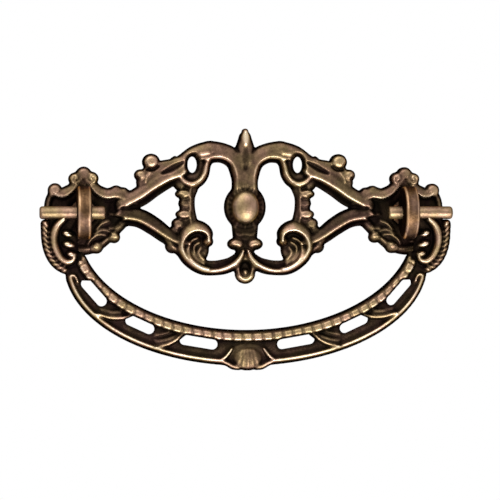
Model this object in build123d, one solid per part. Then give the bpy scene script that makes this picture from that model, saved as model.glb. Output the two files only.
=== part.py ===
from build123d import *
from math import asin, atan, cos, degrees, radians, sqrt
import os

# A cast brass drawer pull: a pierced backplate, a swinging bail, two drilled posts and their nuts.
# Millimetres. X runs along the drawer front, Z is up, and the front of the pull faces -Y.
# The drawer face is y = 0, and the origin lies on it, midway between the posts at pin height.
# A depth is measured forwards from the drawer face, so it is -y.

# Mounting
BOLT_SPACING = 76.2
BOARD_THICKNESS = 19.0

# Posts
PIN_DEPTH = 7.2
PIN_CLEARANCE = 0.08
HEAD_RADIUS = 6.2
HEAD_THICKNESS = 3.4
HEAD_ROUNDING = 0.9
NECK_RADIUS = 2.4
NECK_SHORT = 0.4
SHANK_RADIUS = 1.8
THREAD_RADIUS = 2.08
THREAD_BEFORE_NUT = 2.0
THREAD_PAST_NUT = 2.6
THREAD_CHAMFER = 0.4

# Nuts
NUT_FLATS = 8.7
NUT_THICKNESS = 3.2
NUT_CLEARANCE = 0.05
NUT_CHAMFER = 0.45

# Backplate
FIELD_DEPTH = 2.0
STEM_DEPTH = 1.8
POST_HOLE_RADIUS = 3.0
RAIL_HEIGHT = 3.3
SCROLL_HEIGHT = 3.8
COLUMN_HEIGHT = 2.8
SPIKE_HEIGHT = 2.3
PENDANT_HEIGHT = 2.5
LOOP_HEIGHT = 2.7
SIDE_POST_HEIGHT = 2.2
RIM_HEIGHT = 2.9
CREST_HEIGHT = 2.1
WEB_DEPTH = 1.4
BACK_STOCK = 0.3
ARM_START = 12.5
ROSETTE_REACH = 9.1
COLUMN_HALF_WIDTH = 3.0
SPIKE_TOP = 19.9
PENDANT_BOTTOM = -16.8
BOSS_CENTRE = 1.3
BOSS_HALF_WIDTH = 4.35
BOSS_HALF_HEIGHT = 4.85
BOSS_DEPTH = 2.4
GADROON_COUNT = 24
GADROON_RADIUS = 0.52
DOME_HALF_WIDTH = 3.0
DOME_HALF_HEIGHT = 3.75
DOME_HEIGHT = 4.7

# Bail
BAIL_BACK = 5.6
BAIL_FLOOR = 7.6
END_FLOOR = 7.2
RIDGE_SINK = 0.2
BEAD_LIFT = 0.15
BAIL_CURVE_HEIGHT = 23.8
INNER_EDGE_REACH = 1.2
INNER_EDGE_CENTRE = -3.8
OUTER_EDGE_REACH = 4.5
OUTER_EDGE_CENTRE = -11.9
BAIL_END = -10.6
OUTER_RIM_END = -14.0
INNER_RIM_RADIUS = 0.5
OUTER_RIM_RADIUS = 0.9
RIM_OVERHANG = 0.1
BEAD_OFFSET = 1.65
BEAD_RADIUS = 0.85
BEAD_LENGTH = 2.0
BEAD_PITCH = 2.38
BEAD_ROUNDING = 0.3
SLOT_WIDTH = 2.4
SLOT_PLACE = 0.44
SLOTS = ((0.30, 9.0), (0.66, 7.2), (0.94, 7.8))
LEAF_HEIGHT = 0.9
SCROLL_RISE = 2.0
LOBE_LIFT = 0.2
ROPE_BEAD_RADIUS = 0.55
ROPE_LIFT = 0.1
ROPE_BEAD_COUNT = 12
ROPE_OFFSET = 1.5
ROPE_START = 0.1
ROPE_END = 0.84
PIN_RADIUS = 1.5
PIN_INNER_REACH = 4.9
PIN_OUTER_REACH = 10.3
PIN_ROUNDING = 0.7
SHELL_DROP = 1.4
MIDDLE_RIB_HEIGHT = 1.5
SIDE_RIB_HEIGHT = 1.2

bolt_x = BOLT_SPACING / 2
ridge_depth = BAIL_FLOOR - RIDGE_SINK
front = Plane.XZ


def half_round(half_width, height):
    """The section of a raised scroll: half an ellipse on a flat base."""
    crown = EllipticalCenterArc((0, 0), half_width, height, start_angle=0, arc_size=180)
    return make_face(crown + Line((-half_width, 0), (half_width, 0)))


def stroke(stations, height, depth=-BACK_STOCK):
    """A raised scroll: half-round sections lofted along a smooth line through (x, z, half width)."""
    points = [Vector(x, -depth, z) for x, z, half_width in stations]
    line = Edge.make_spline(points)
    sections = []
    for point, (x, z, half_width) in zip(points, stations):
        along = line.tangent_at(point)
        across = along.cross(Vector(0, 1, 0))
        sections.append(Plane(origin=point, x_dir=across, z_dir=along) * half_round(half_width, height))
    return loft(sections)


def knob(x, z, radius, depth):
    """A domed knob on the plate, the dome's centre at the given depth."""
    dome = CenterArc((0, depth), radius, 0, 90)
    base = Polyline((0, depth + radius), (0, -BACK_STOCK), (radius, -BACK_STOCK), (radius, depth))
    return Pos(x, 0, z) * Rot(180, 0, 0) * revolve(make_face(dome + base), Axis.Y)


def ball(x, z, radius, depth):
    """A round bead centred at the given depth."""
    return Pos(x, -depth, z) * Rot(90, 0, 0) * Sphere(radius)


def oval(x, z, half_width, half_height, depth, back=-BACK_STOCK):
    """A flat oval boss between two depths."""
    return extrude(front.offset(back) * Pos(x, z) * Ellipse(half_width, half_height), depth - back)


def tube(line, radius):
    """A round moulding along a line."""
    return sweep(Plane(origin=line @ 0, x_dir=(0, 1, 0), z_dir=line % 0) * Circle(radius), path=line)


def from_bolt(stations):
    """Stations written from the bolt's axis, moved to the right-hand bolt."""
    return [(bolt_x + x, z, half_width) for x, z, half_width in stations]


def mirrored(solids):
    """The solids of the right half, with their mirror images."""
    return list(solids) + [mirror(solid, about=Plane.YZ) for solid in solids]


def fused(solids):
    """One casting from overlapping solids."""
    return solids[0].fuse(*solids[1:])


# Backplate


def along_arm(share):
    """The x of a point on an arm, from 0 at the centre panel to 1 at the rosette."""
    return ARM_START + share * (bolt_x - ROSETTE_REACH - ARM_START)


def column():
    """The upright on the middle line, with the spike above it and the pendant below."""
    upper = stroke(
        [(0, 2.0, 3.4), (0, 7.8, COLUMN_HALF_WIDTH), (0, 10.6, 3.6), (0, 14.4, 4.6)],
        COLUMN_HEIGHT,
    )
    spike = stroke(
        [(0, 11.5, 2.7), (0, 15.6, 2.2), (0, 18.0, 1.5), (0, SPIKE_TOP, 0.8)],
        SPIKE_HEIGHT,
    )
    lower = stroke(
        [(0, 0.0, 3.4), (0, -4.4, COLUMN_HALF_WIDTH), (0, -7.5, 2.6), (0, -12.5, 1.5)],
        COLUMN_HEIGHT,
    )
    pendant = stroke(
        [(0, -10.4, 1.4), (0, -13.4, 3.1), (0, -15.3, 2.3), (0, PENDANT_BOTTOM, 1.3)],
        PENDANT_HEIGHT,
    )
    return [upper, spike, lower, pendant]


def boss():
    """The oval boss: a smooth dome inside a ring of gadroons."""
    base = oval(0, BOSS_CENTRE, BOSS_HALF_WIDTH, BOSS_HALF_HEIGHT, BOSS_DEPTH)
    half_sizes = (DOME_HALF_WIDTH, DOME_HEIGHT, DOME_HALF_HEIGHT)
    dome = Pos(0, 0, BOSS_CENTRE) * scale(Rot(90, 0, 0) * Sphere(1), by=half_sizes)
    rim = Edge.make_ellipse(BOSS_HALF_WIDTH, BOSS_HALF_HEIGHT, plane=front)
    gadroons = []
    for tooth in range(GADROON_COUNT):
        seat = rim.position_at((tooth + 0.5) / GADROON_COUNT)
        gadroons.append(knob(seat.X, BOSS_CENTRE + seat.Z, GADROON_RADIUS, BOSS_DEPTH))
    return [base, dome] + gadroons


def panel_side():
    """The right half of the centre panel: loop, side post, the big scroll, and the eye cut through."""
    loop = stroke(
        [
            (8.0, 13.4, 0.9),
            (9.5, 10.7, 1.15),
            (10.1, 8.0, 1.2),
            (11.9, 6.7, 1.15),
            (13.9, 7.4, 1.0),
            (15.2, 9.0, 0.8),
        ],
        LOOP_HEIGHT,
    )
    post = stroke(
        [(12.2, 6.4, 1.3), (13.9, 3.7, 1.9), (13.9, 0.6, 1.9), (12.6, -2.6, 1.6)],
        SIDE_POST_HEIGHT,
    )
    scroll = stroke(
        [
            (8.8, -6.7, 0.9),
            (9.2, -4.5, 1.5),
            (11.4, -3.4, 1.7),
            (13.9, -4.9, 1.75),
            (14.5, -8.0, 1.75),
            (12.8, -11.3, 1.75),
            (9.7, -13.0, 1.8),
            (6.4, -13.0, 1.8),
            (3.5, -11.7, 1.6),
            (1.6, -9.2, 1.1),
        ],
        SCROLL_HEIGHT,
    )
    webs = [oval(11.4, -8.5, 2.9, 3.7, WEB_DEPTH), oval(12.3, 10.7, 3.4, 3.7, WEB_DEPTH)]
    knobs = [
        knob(8.9, -6.8, 1.35, 1.6),
        knob(15.6, 7.0, 1.6, 0.9),
        knob(15.4, 4.2, 1.35, 1.6),
        knob(15.7, 0.1, 1.45, 1.6),
        knob(15.8, -2.5, 1.6, 1.1),
        knob(2.2, -7.3, 1.85, 1.8),
    ]
    eye = oval(12.5, 11.3, 1.1, 1.9, 2 * RAIL_HEIGHT)
    return [fused([loop, post, scroll] + webs + knobs), eye]


def arm():
    """The two rails that carry the right-hand rosette, with the crest and its beads."""
    upper = stroke(
        [
            (1.5, 13.6, 2.2),
            (4.6, 14.5, 2.1),
            (8.4, 14.9, 1.95),
            (ARM_START, 14.4, 1.35),
            (along_arm(0.2), 12.3, 1.7),
            (along_arm(0.41), 9.6, 2.3),
            (along_arm(0.6), 7.3, 2.2),
            (along_arm(0.8), 4.3, 2.1),
            (along_arm(1.0), 3.3, 1.6),
        ],
        RAIL_HEIGHT,
    )
    lower = stroke(
        [
            (along_arm(1.0), -0.6, 2.2),
            (along_arm(0.84), -0.9, 2.35),
            (along_arm(0.67), -2.0, 2.25),
            (along_arm(0.46), -3.5, 2.1),
            (along_arm(0.28), -5.0, 1.9),
            (14.6, -7.2, 1.5),
        ],
        RAIL_HEIGHT,
    )
    crest = stroke(
        [
            (along_arm(0.3), 11.4, 1.3),
            (along_arm(0.5), 10.4, 1.6),
            (along_arm(0.66), 9.2, 1.6),
            (along_arm(0.78), 7.0, 1.4),
        ],
        CREST_HEIGHT,
    )
    knobs = [
        knob(along_arm(0.6), 12.0, 1.75, 1.5),
        knob(along_arm(0.75), 8.8, 1.4, 1.7),
        knob(along_arm(0.38), -6.5, 1.6, 1.2),
        knob(along_arm(0.28), -8.2, 1.5, 1.0),
    ]
    return [upper, lower, crest] + knobs


def rosette():
    """The cartouche round the right-hand post: a sunk field inside swagged rims with a finial."""
    field = oval(bolt_x - 0.3, -0.6, 8.9, 7.4, FIELD_DEPTH)
    stem = oval(bolt_x, 4.0, 3.0, 5.2, STEM_DEPTH)
    root = oval(bolt_x - 8.6, 0.8, 3.4, 3.7, WEB_DEPTH)
    rims = [
        [(-10.4, 3.6, 1.3), (-7.2, 4.9, 1.2), (-4.6, 4.6, 1.0), (-2.6, 6.3, 1.0), (-1.6, 8.3, 0.9)],
        [(7.4, 5.6, 1.0), (5.6, 4.7, 1.0), (3.6, 5.1, 1.0), (2.0, 6.5, 1.0), (1.4, 8.4, 0.9)],
        [(6.6, 5.4, 0.9), (8.0, 2.9, 0.95), (8.2, -1.0, 0.95), (7.3, -4.6, 1.0), (5.2, -7.4, 1.1)],
        [
            (6.2, -6.6, 1.0),
            (3.2, -8.4, 1.2),
            (0.0, -8.8, 1.2),
            (-3.4, -7.9, 1.2),
            (-6.4, -5.6, 1.1),
            (-9.6, -2.4, 1.0),
        ],
    ]
    knobs = [
        knob(bolt_x - 1.9, 8.4, 1.15, 2.2),
        knob(bolt_x + 1.7, 8.0, 1.3, 2.2),
        knob(bolt_x - 0.2, 9.7, 1.15, 2.0),
        knob(bolt_x + 7.0, 5.5, 1.3, 1.9),
        knob(bolt_x - 7.2, -5.8, 1.4, 1.6),
        knob(bolt_x - 3.1, -8.3, 1.45, 1.6),
    ]
    return [field, stem, root] + [stroke(from_bolt(rim), RIM_HEIGHT) for rim in rims] + knobs


def make_backplate():
    """One flat-backed casting with a clear hole for each post."""
    panel, eye = panel_side()
    hole = oval(bolt_x, 0, POST_HOLE_RADIUS, POST_HOLE_RADIUS, 2 * RAIL_HEIGHT, -RAIL_HEIGHT)
    side = fused([panel] + arm() + rosette()).cut(eye, hole)
    casting = fused(column() + boss() + mirrored([side]))
    size = casting.bounding_box().size
    behind = Pos(0, size.Y / 2, 0) * Box(2 * size.X, size.Y, 3 * size.Z)
    return casting.cut(behind)


# Bail


def edge_z(x, reach, centre):
    """The height of one of the bail's two elliptical edges at x."""
    return centre - BAIL_CURVE_HEIGHT * sqrt(1 - (x / (bolt_x + reach)) ** 2)


def in_band(x, share):
    """The height at x of a line between the bail's inner edge, 0, and its outer edge, 1."""
    inner = edge_z(x, INNER_EDGE_REACH, INNER_EDGE_CENTRE)
    outer = edge_z(x, OUTER_EDGE_REACH, OUTER_EDGE_CENTRE)
    return inner + share * (outer - inner)


def bail_line(reach, centre, offset, end, depth):
    """A line beside one of the bail's edges, from the left end, under the middle, to the right."""
    half_height = BAIL_CURVE_HEIGHT + offset
    tilt = degrees(asin((end - centre) / half_height))
    arc = EllipticalCenterArc(
        (0, centre), bolt_x + reach + offset, half_height, start_angle=180 - tilt, arc_size=180 + 2 * tilt
    )
    return front.offset(depth) * arc


def band():
    """The pierced crescent, six slots between its two edges."""
    outer = Pos(0, OUTER_EDGE_CENTRE) * Ellipse(bolt_x + OUTER_EDGE_REACH, BAIL_CURVE_HEIGHT)
    inner = Pos(0, INNER_EDGE_CENTRE) * Ellipse(bolt_x + INNER_EDGE_REACH, BAIL_CURVE_HEIGHT)
    span = 4 * bolt_x
    below = Pos(0, BAIL_END - span / 2) * Rectangle(span, span)
    crescent = extrude(front.offset(BAIL_BACK) * ((outer - inner) & below), BAIL_FLOOR - BAIL_BACK)
    slots = []
    for share, length in SLOTS:
        x = share * bolt_x
        slope = (in_band(x + 1, SLOT_PLACE) - in_band(x - 1, SLOT_PLACE)) / 2
        shape = Rot(0, 0, degrees(atan(slope))) * SlotOverall(length, SLOT_WIDTH)
        shape = Pos(x, in_band(x, SLOT_PLACE)) * shape
        slots.append(extrude(front * shape, 2 * BAIL_FLOOR))
    return crescent.cut(*mirrored(slots))


def bead_row():
    """Pillow beads, one after the other, beside the bail's inner edge."""
    line = bail_line(INNER_EDGE_REACH, INNER_EDGE_CENTRE, BEAD_OFFSET, BAIL_END, BAIL_FLOOR + BEAD_LIFT)
    blank = Cylinder(BEAD_RADIUS, BEAD_LENGTH)
    blank = fillet(blank.edges().filter_by(GeomType.CIRCLE), BEAD_ROUNDING)
    count = round(line.length / BEAD_PITCH)
    beads = []
    for step in range(count):
        place = (step + 0.5) / count
        beads.append(Plane(origin=line @ place, x_dir=(0, 1, 0), z_dir=line % place) * blank)
    return beads


def rim_tubes():
    """The thin moulding on the bail's inner edge and the bolder one on its outer edge."""
    inner = bail_line(
        INNER_EDGE_REACH, INNER_EDGE_CENTRE, INNER_RIM_RADIUS - RIM_OVERHANG, BAIL_END, ridge_depth
    )
    outer = bail_line(
        OUTER_EDGE_REACH, OUTER_EDGE_CENTRE, RIM_OVERHANG - OUTER_RIM_RADIUS, OUTER_RIM_END, ridge_depth
    )
    return [tube(inner, INNER_RIM_RADIUS), tube(outer, OUTER_RIM_RADIUS)]


def leaves():
    """The right half's leaf ridges, which cross the band between slots."""
    ridges = []
    for stations in (
        [(0.375, 0.32, 0.7), (0.44, 0.6, 0.8), (0.51, 0.78, 0.8), (0.6, 0.9, 0.7)],
        [(0.71, 0.32, 0.7), (0.77, 0.52, 0.8), (0.84, 0.72, 0.8), (0.91, 0.88, 0.7)],
    ):
        points = [(bolt_x * x, in_band(bolt_x * x, share), half) for x, share, half in stations]
        ridges.append(stroke(points, LEAF_HEIGHT, ridge_depth))
    return ridges


def shell():
    """The shell at the middle of the bail: a web, fanned ribs and a forked rim each side."""
    bottom = OUTER_EDGE_CENTRE - BAIL_CURVE_HEIGHT - SHELL_DROP
    web = oval(0, bottom + 3.8, 4.6, 3.4, BAIL_FLOOR, BAIL_BACK)
    middle = [(0, bottom + 6.3, 0.7), (0, bottom + 3.7, 1.2), (0, bottom + 0.4, 1.3)]
    beside = [(1.2, bottom + 5.9, 0.6), (1.9, bottom + 3.5, 0.9), (2.5, bottom + 0.5, 0.9)]
    upper_fork = [(7.0, bottom + 2.5, 0.6), (5.2, bottom + 3.3, 0.6), (3.8, bottom + 5.3, 0.5)]
    lower_fork = [(7.0, bottom + 2.2, 0.6), (4.6, bottom + 1.7, 0.7), (2.4, bottom + 0.6, 0.6)]
    side = [
        stroke(beside, SIDE_RIB_HEIGHT, ridge_depth),
        stroke(upper_fork, LEAF_HEIGHT, ridge_depth),
        stroke(lower_fork, LEAF_HEIGHT, ridge_depth),
    ]
    return [web, stroke(middle, MIDDLE_RIB_HEIGHT, ridge_depth)] + mirrored(side)


def end_scroll():
    """The right end of the bail: a scroll with lobes inside a rope edge, and the inward pivot pin."""
    corners = ((1.2, -9.6), (2.7, -3.2), (5.6, 0.3), (9.0, -3.0), (7.4, -10.6), (2.8, -14.6))
    outline = Spline(*[(bolt_x + x, z) for x, z in corners], periodic=True)
    web = extrude(front.offset(BAIL_BACK) * make_face(outline), END_FLOOR - BAIL_BACK)
    stations = from_bolt(
        [
            (5.6, -1.6, 0.75),
            (7.1, -4.4, 0.85),
            (7.2, -6.9, 0.85),
            (6.6, -9.1, 0.85),
            (5.3, -10.9, 0.85),
            (3.7, -11.6, 0.75),
            (2.5, -10.9, 0.6),
        ]
    )
    scroll = stroke(stations, SCROLL_RISE, END_FLOOR - RIDGE_SINK)
    line = Edge.make_spline([Vector(x, -END_FLOOR, z) for x, z, half_width in stations])
    rope = []
    for strand in range(ROPE_BEAD_COUNT):
        place = ROPE_START + (ROPE_END - ROPE_START) * strand / (ROPE_BEAD_COUNT - 1)
        outward = (line % place).cross(Vector(0, 1, 0)).normalized()
        seat = line @ place + outward * ROPE_OFFSET
        rope.append(ball(seat.X, seat.Z, ROPE_BEAD_RADIUS, END_FLOOR + ROPE_LIFT))
    lobes = [
        ball(bolt_x + 4.1, -5.0, 0.95, END_FLOOR + LOBE_LIFT),
        ball(bolt_x + 3.7, -7.5, 0.9, END_FLOOR + LOBE_LIFT),
        ball(bolt_x + 2.8, -10.0, 0.95, END_FLOOR + LOBE_LIFT),
    ]
    pin_length = PIN_INNER_REACH + PIN_OUTER_REACH
    pin_middle = bolt_x + (PIN_OUTER_REACH - PIN_INNER_REACH) / 2
    pin = Pos(pin_middle, -PIN_DEPTH, 0) * Cylinder(PIN_RADIUS, pin_length, rotation=(0, 90, 0))
    pin = fillet(pin.edges().sort_by(Axis.X)[-1], PIN_ROUNDING)
    return [web, scroll, pin] + rope + lobes


def make_bail():
    """One casting that swings on its two inward pins."""
    return fused([band()] + rim_tubes() + bead_row() + shell() + mirrored(leaves() + end_scroll()))


# Posts and nuts


def shaft(radius, start, end):
    """A round length of the right-hand post, between two distances behind the drawer face."""
    length = end - start
    return Pos(bolt_x, (start + end) / 2, 0) * Cylinder(radius, length, rotation=(90, 0, 0))


def make_post():
    """The right-hand post: a round head on edge, drilled for the pin, on a threaded shank."""
    blank = Cylinder(HEAD_RADIUS, HEAD_THICKNESS, rotation=(0, 90, 0))
    blank = fillet(blank.edges().filter_by(GeomType.CIRCLE), HEAD_ROUNDING)
    head = Pos(bolt_x, -PIN_DEPTH, 0) * blank
    reach = 2 * HEAD_RADIUS
    head = head - Pos(bolt_x, reach / 2 - FIELD_DEPTH, 0) * Box(reach, reach, 2 * reach)
    hole = Cylinder(PIN_RADIUS + PIN_CLEARANCE, 2 * HEAD_THICKNESS, rotation=(0, 90, 0))
    head = head - Pos(bolt_x, -PIN_DEPTH, 0) * hole
    thread_start = BOARD_THICKNESS - THREAD_BEFORE_NUT
    thread_end = BOARD_THICKNESS + NUT_THICKNESS + THREAD_PAST_NUT
    thread = shaft(THREAD_RADIUS, thread_start, thread_end)
    thread = chamfer(thread.edges().filter_by(GeomType.CIRCLE).sort_by(Axis.Y)[-1], THREAD_CHAMFER)
    neck = shaft(NECK_RADIUS, -FIELD_DEPTH, -NECK_SHORT)
    shank = shaft(SHANK_RADIUS, -NECK_SHORT, thread_start)
    return fused([head, neck, shank, thread])


def make_nut():
    """The right-hand hexagon nut, against the back of the drawer front."""
    corner = NUT_FLATS / 2 / cos(radians(30))
    behind = front.offset(-BOARD_THICKNESS - NUT_THICKNESS)
    hexagon = extrude(behind * Pos(bolt_x, 0) * RegularPolygon(corner, 6), NUT_THICKNESS)
    cone_radius = corner - NUT_CHAMFER + NUT_THICKNESS
    cone = Cone(cone_radius, corner - NUT_CHAMFER, NUT_THICKNESS, rotation=(-90, 0, 0))
    rounded = hexagon & Pos(bolt_x, BOARD_THICKNESS + NUT_THICKNESS / 2, 0) * cone
    return rounded - shaft(THREAD_RADIUS + NUT_CLEARANCE, 0, 2 * BOARD_THICKNESS)


def main():
    post = make_post()
    nut = make_nut()
    nodes = {
        "backplate": make_backplate(),
        "bail": make_bail(),
        "right_post": post,
        "left_post": mirror(post, about=Plane.YZ),
        "right_nut": nut,
        "left_nut": mirror(nut, about=Plane.YZ),
    }
    os.makedirs("parts", exist_ok=True)
    for name, solid in nodes.items():
        export_step(solid, f"parts/{name}.step")


if __name__ == "__main__":
    main()
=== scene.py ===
import math

import bmesh
import bpy
import numpy as np
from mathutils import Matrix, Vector, kdtree
from mathutils.geometry import tessellate_polygon


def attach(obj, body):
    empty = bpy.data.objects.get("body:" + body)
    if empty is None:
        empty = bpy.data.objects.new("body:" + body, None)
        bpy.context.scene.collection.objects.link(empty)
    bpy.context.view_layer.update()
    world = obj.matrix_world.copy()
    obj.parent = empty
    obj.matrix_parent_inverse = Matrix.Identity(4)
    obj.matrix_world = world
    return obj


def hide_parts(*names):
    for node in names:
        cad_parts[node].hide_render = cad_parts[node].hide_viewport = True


# The looks of a cast drawer pull in aged brass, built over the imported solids.
# The two castings are drawn as reliefs: the height of the front over a fine grid, in millimetres.
# x runs to the right, z is up, and a height is measured forwards from the casting's flat back.
# A relief is drawn for the right half, and mirrored.

MM = 0.001

# The grid's step, and the limits of the two reliefs: right, low and high
GRID_STEP = 0.14
PLATE_LIMITS = (47.8, -17.6, 20.6)
BAIL_LIMITS = (48.4, -37.6, 1.8)

# Colours of aged brass from a hollow, 0, to a rubbed edge, 1, also used for painted shade and highlight:
# coppery, golden and rosy
COPPERY = (
    (0.0, (0.004, 0.002, 0.001)),
    (0.2, (0.016, 0.008, 0.004)),
    (0.38, (0.068, 0.037, 0.018)),
    (0.55, (0.180, 0.100, 0.050)),
    (0.75, (0.400, 0.245, 0.130)),
    (1.0, (0.700, 0.540, 0.350)),
)
GOLDEN = (
    (0.0, (0.004, 0.003, 0.002)),
    (0.2, (0.014, 0.009, 0.005)),
    (0.38, (0.055, 0.037, 0.019)),
    (0.55, (0.140, 0.096, 0.048)),
    (0.75, (0.330, 0.235, 0.125)),
    (1.0, (0.660, 0.540, 0.370)),
)
ROSY = (
    (0.0, (0.004, 0.002, 0.002)),
    (0.2, (0.015, 0.008, 0.006)),
    (0.38, (0.060, 0.034, 0.024)),
    (0.55, (0.150, 0.088, 0.058)),
    (0.75, (0.350, 0.220, 0.150)),
    (1.0, (0.680, 0.520, 0.390)),
)

# Sizes shared with the solids
BOLT_X = 38.1
PIN_DEPTH = 7.2
PIN_RADIUS = 1.5
PIN_INNER_X = 33.2
PIN_OUTER_X = 48.4
THREAD_START = 17.0
THREAD_END = 24.8
THREAD_RADIUS = 2.08
BAIL_BACK = 5.6
CURVE_HEIGHT = 23.8
INNER_REACH = 1.2
INNER_CENTRE = -3.8
OUTER_REACH = 4.5
OUTER_CENTRE = -11.9
BAIL_END = -10.6
SHELL_FORK = 5.2

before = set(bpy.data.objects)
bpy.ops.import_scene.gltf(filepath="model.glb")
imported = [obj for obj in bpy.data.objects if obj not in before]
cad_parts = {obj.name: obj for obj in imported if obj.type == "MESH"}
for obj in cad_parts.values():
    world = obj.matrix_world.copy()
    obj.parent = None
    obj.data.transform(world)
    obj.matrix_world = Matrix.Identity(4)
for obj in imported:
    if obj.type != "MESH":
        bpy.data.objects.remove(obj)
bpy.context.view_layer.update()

# The cut thread on the posts' ends
THREAD_PITCH = 0.7
THREAD_CUT = 0.36
THREAD_CHAMFER = 0.35
THREAD_SIDES = 48
THREAD_WEAR = 0.5

# The bail's pins, rounded at both ends
PIN_INNER_ROUND = 0.5
PIN_OUTER_ROUND = 0.7
PIN_SIDES = 40
PIN_WEAR = 0.62

# Degrees above which an edge is shaded sharp, and the same on a post's shank
SHARP_ANGLE = 55
SHANK_SHARP_ANGLE = 30

# Wear of a plain face and of the flat back
FACE_WEAR = 0.42
BACK_WEAR = 0.42

# How strongly the relief changes the wear, at each radius in grid steps
RELIEF_GAINS = ((3, 0.60), (10, 0.16))

# Painted shade on edges: how much of an edge's bevel darkens as if it were a hollow, and how dark the edge is
# painted, over how many millimetres; both count in full where an edge faces down
BEVEL_SHADE = 0.35
EDGE_SHADE = 0.22
EDGE_SHADE_REACH = 0.8

# Bevels: the height at the outline, the curve, and the reach on most edges and on edges that face down
EDGE_HEIGHT = 0.9
BEVEL_CURVE = 1.6
PLATE_BEVEL = (0.4, 1.6)
BAIL_BEVEL = (0.35, 0.5)

# How far a stroke's rubbed crest spreads to each side, and over how much more the painted shade on its slope
# deepens
CREST = 0.28
SHADE_RAMP = 0.4

# Fillets where shapes meet: in height, and in the outline of strokes and of domes
FILLET = 0.2
STROKE_BLEND = 0.5
DOME_BLEND = 0.4

# The grid window round a shape, as a multiple of the shape's own reach to a side
WINDOW_MARGIN = 1.3

# The bail's band: its floor's height and tone, its overlap on the end scroll, its edges' mean radius
BAND_FLOOR = 1.25
BAND_TONE = -0.14
BAND_OVERLAP = 1.5
BAND_RADIUS = 26

# The bail's slots: their place across the band, their width and their cut-off corner,
# then each one's share of the way to the pin, and its length
SLOT_PLACE = 0.44
SLOT_WIDTH = 2.4
CORNER_SLANT = 0.9
CORNER_CUT = 0.2
CORNER_SCALE = 0.75
SLOTS = ((0.30, 9.0), (0.66, 7.2), (0.94, 7.8))

# Spacing of the bail's beads and of the strands in its rope edge
BEAD_PITCH = 2.38
ROPE_PITCH = 1.25

# Sections, as the share of the full height from a stroke's crest, 0, out to its edge, 1
ROUND = ((0.0, 0.2, 0.4, 0.6, 0.8, 0.9, 0.97, 1.0), (1.0, 0.98, 0.92, 0.8, 0.6, 0.44, 0.24, 0.0))
CONVEX = ((0.0, 0.3, 0.6, 0.85, 1.0), (1.0, 0.95, 0.82, 0.62, 0.4))
FLAT = ((0.0, 0.8, 0.95, 1.0), (1.0, 0.97, 0.85, 0.65))
SLOPE = ((0.0, 0.15, 0.6, 1.0), (1.0, 0.86, 0.5, 0.3))
FACE = ((0.0, 0.07, 0.16, 0.5, 0.85, 1.0), (1.0, 0.94, 0.9, 0.86, 0.7, 0.45))
RIDGE = ((0.0, 0.15, 0.4, 0.75, 1.0), (1.0, 0.97, 0.78, 0.48, 0.36))
BRICK = ((0.0, 0.5, 0.8, 0.93, 1.0), (1.0, 0.99, 0.92, 0.78, 0.5))
CHANNEL = ((0.0, 0.1, 0.35, 0.65, 0.88, 1.0), (1.0, 0.86, 0.48, 0.36, 0.46, 0.4))

# Mottling of the wear: spots in a metre, detail and strength
MOTTLES = ((420, 4, 0.30), (1900, 3, 0.20))

# Patches of the second colour: spots in a metre, and the noise where they start and are full
TINT_SPOTS = 230
TINT_RANGE = (0.4, 0.62)

# Roughness of a hollow and of a rubbed edge
ROUGHNESS = (0.55, 0.27)

# The fine grain: spots in a metre, strength, and depth in metres
GRAIN_SPOTS = 2600
GRAIN_STRENGTH = 0.25
GRAIN_DEPTH = 0.0002

# Scales of the file marks on a flat back, and of a turned piece's rings and streaks
FILE_MARKS = 900
TURNED_RINGS = 700
TURNED_STREAKS = 260

# Wear of a turned piece, by how far a face looks sideways
TURNED_WEAR = ((0.0, 0.40), (0.12, 0.46), (0.4, 0.76), (0.7, 0.64), (0.9, 0.28), (1.0, 0.20))

# Lamps: name, place, size and power, aimed at one point
LAMPS = (
    ("top", (-0.14, -0.32, 0.42), 0.70, 2.6),
    ("low", (0.05, -0.30, -0.26), 0.34, 2.4),
)
LAMP_AIM = (0, 0, -0.008)


# Lines and grids


def lengths(points):
    """How far along a line each of its points lies."""
    return np.r_[0, np.cumsum(np.hypot(*np.diff(points[:, :2], axis=0).T))]


def place_along(points, along, distance):
    """The place at a distance along a line, along being its lengths."""
    return np.array([np.interp(distance, along, points[:, k]) for k in (0, 1)])


def smooth_line(stations, spacing=0.1):
    """Close points on a smooth curve through the stations; each further column is carried along it."""
    s = np.asarray(stations, float)
    chord = lengths(s)
    slope = np.gradient(s, chord, axis=0)
    t = np.linspace(0, chord[-1], max(8, round(chord[-1] / spacing)))
    k = np.clip(np.searchsorted(chord, t, side="right") - 1, 0, len(chord) - 2)
    span = (chord[k + 1] - chord[k])[:, None]
    u = (t - chord[k])[:, None] / span
    start = (1 + 2 * u) * (1 - u) ** 2 * s[k] + u * (1 - u) ** 2 * span * slope[k]
    end = u ** 2 * (3 - 2 * u) * s[k + 1] + u ** 2 * (u - 1) * span * slope[k + 1]
    return start + end


def eased(share):
    """A share from 0 to 1 that starts and ends gently."""
    return share * share * (3 - 2 * share)


def soft_max(a, b, blend):
    """The larger of two heights, with a small fillet where they meet."""
    mix = np.clip(0.5 + 0.5 * (a - b) / blend, 0, 1)
    return b + (a - b) * mix + blend * mix * (1 - mix)


def blurred(values, radius):
    """Values averaged over a radius in grid steps, three box passes each way."""
    out = values.astype(float)
    size = 2 * radius + 1
    for _ in range(3):
        for axis in (0, 1):
            pad = [(0, 0), (0, 0)]
            pad[axis] = (radius + 1, radius)
            total = np.cumsum(np.pad(out, pad, mode="edge"), axis=axis)
            low = np.take(total, range(0, total.shape[axis] - size), axis=axis)
            high = np.take(total, range(size, total.shape[axis]), axis=axis)
            out = (high - low) / size
    return out


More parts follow.
